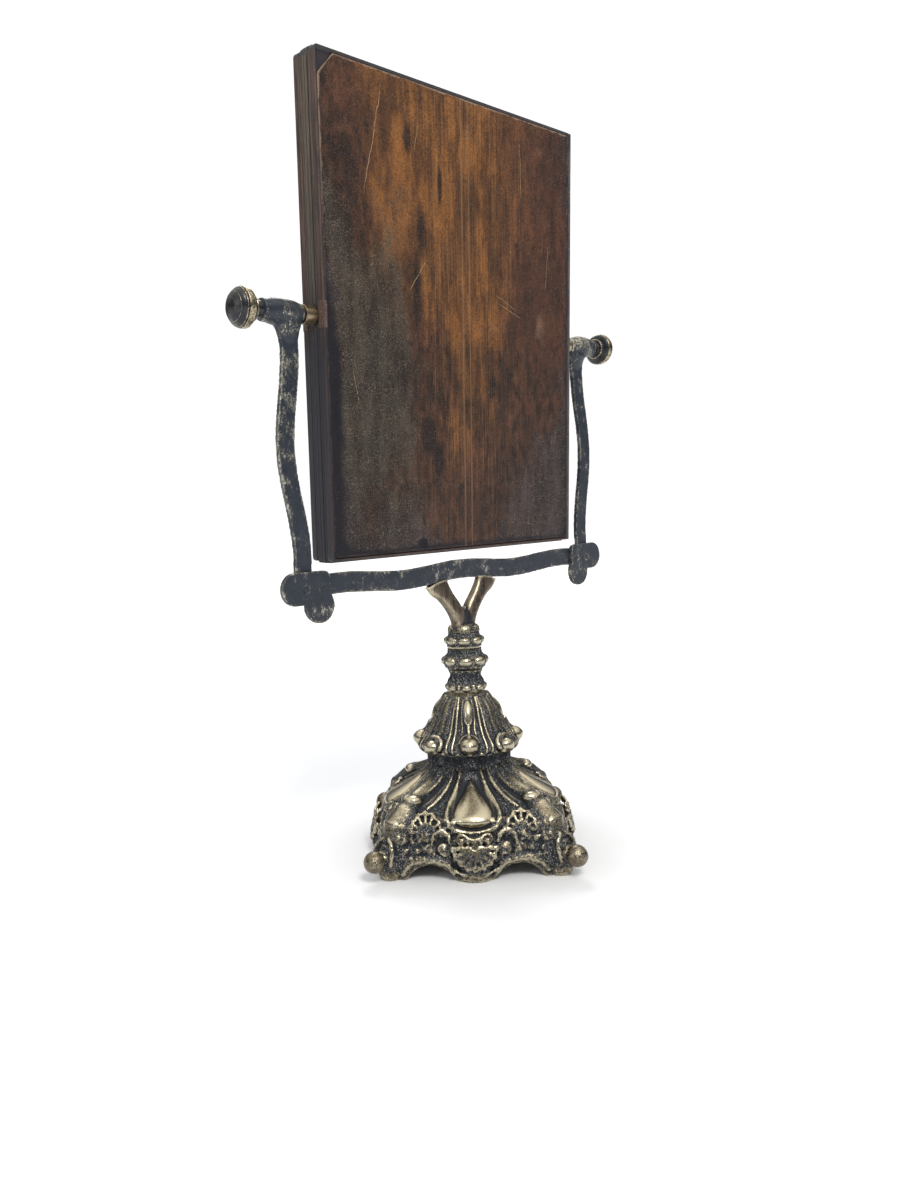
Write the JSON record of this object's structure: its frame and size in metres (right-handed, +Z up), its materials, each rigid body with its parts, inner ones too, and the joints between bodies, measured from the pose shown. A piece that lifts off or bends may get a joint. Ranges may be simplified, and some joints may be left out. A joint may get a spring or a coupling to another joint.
{
  "type": "photo album stand",
  "caption": "Leather album with opening covers that tilts on pivot screws in a wavy metal yoke on an ornate square cast base.",
  "frame": {"origin": "centre of the base's underside, on the surface it stands on", "axes": "+Z up, the yoke and the pivot axis along X, the album's front cover faces -Y"},
  "size_m": [0.3412, 0.194, 0.4871],
  "materials": {
    "bronze_casting": "antique patina, dark in the hollows",
    "worn_brass": "dull worn brass",
    "dark_paint": "worn dark paint over metal",
    "knob_metal": "darkened brass with pale rims",
    "steel": "dull steel",
    "clip_metal": "dull",
    "leather_panel": "aged, mottled, rubbed",
    "leather_edge": "worn leather turn-in",
    "card_edge": "aged thick card",
    "photo_paper": "aged blank print"
  },
  "bodies": {
    "base": {"base_skirt": "bronze_casting", "base_bell": "bronze_casting", "corner_balls": "worn_brass", "lower_bead_collar": "bronze_casting", "upper_bead_collar": "bronze_casting", "tie_washer": "steel"},
    "yoke": {"swivel_cap": "bronze_casting", "yoke_fork": "worn_brass", "tie_rod": "steel", "tie_nut": "steel", "crossbar": "dark_paint", "fork_screws": "steel", "left_corner_plate": "dark_paint", "right_corner_plate": "dark_paint", "corner_rivets": "steel", "left_arm": "dark_paint", "right_arm": "dark_paint"},
    "left_screw": {"left_knob": "knob_metal", "left_pivot_screw": "steel"},
    "right_screw": {"right_knob": "knob_metal", "right_pivot_screw": "steel"},
    "album": {"centre_board": "card_edge", "left_socket": "steel", "right_socket": "steel", "left_ferrule": "worn_brass", "right_ferrule": "worn_brass", "album_spine": "leather_edge"},
    "front_cover": {"front_cover_board": "leather_edge", "front_cover_panel": "leather_panel", "front_edge_clip": "clip_metal"},
    "front_leaf_body": {"front_leaf": "card_edge", "front_photo_card": "photo_paper"},
    "rear_cover": {"rear_cover_board": "leather_edge", "rear_cover_panel": "leather_panel", "rear_edge_clip": "clip_metal"},
    "rear_leaf_body": {"rear_leaf": "card_edge", "rear_photo_card": "photo_paper"}
  },
  "joints": [
    {"name": "yoke_swivel", "type": "hinge", "parent": "base", "child": "yoke", "pos_m": [0, 0, 0.1395], "axis": [0, 0, 1], "continuous": true},
    {"name": "album_tilt", "type": "hinge", "parent": "yoke", "child": "album", "pos_m": [0, 0, 0.346], "axis": [1, 0, 0], "continuous": true},
    {"name": "left_knob_turn", "type": "hinge", "parent": "yoke", "child": "left_screw", "pos_m": [-0.155, 0, 0.346], "axis": [1, 0, 0], "continuous": true},
    {"name": "right_knob_turn", "type": "hinge", "parent": "yoke", "child": "right_screw", "pos_m": [0.155, 0, 0.346], "axis": [1, 0, 0], "continuous": true},
    {"name": "front_cover_open", "type": "hinge", "parent": "album", "child": "front_cover", "pos_m": [0.1098, -0.00959, 0.34563], "axis": [0, -0.0384, 0.9993], "range_deg": [0, 150]},
    {"name": "front_leaf_turn", "type": "hinge", "parent": "album", "child": "front_leaf_body", "pos_m": [0.1098, -0.00505, 0.34581], "axis": [0, -0.0384, 0.9993], "range_deg": [0, 75]},
    {"name": "rear_cover_open", "type": "hinge", "parent": "album", "child": "rear_cover", "pos_m": [0.1098, 0.00959, 0.34637], "axis": [0, 0.0384, -0.9993], "range_deg": [0, 150]},
    {"name": "rear_leaf_turn", "type": "hinge", "parent": "album", "child": "rear_leaf_body", "pos_m": [0.1098, 0.00505, 0.34619], "axis": [0, 0.0384, -0.9993], "range_deg": [0, 75]}
  ],
  "couplings": [
    {"joint": "front_leaf_turn", "follows": "front_cover_open", "ratio": 0.5},
    {"joint": "rear_leaf_turn", "follows": "rear_cover_open", "ratio": 0.5}
  ]
}
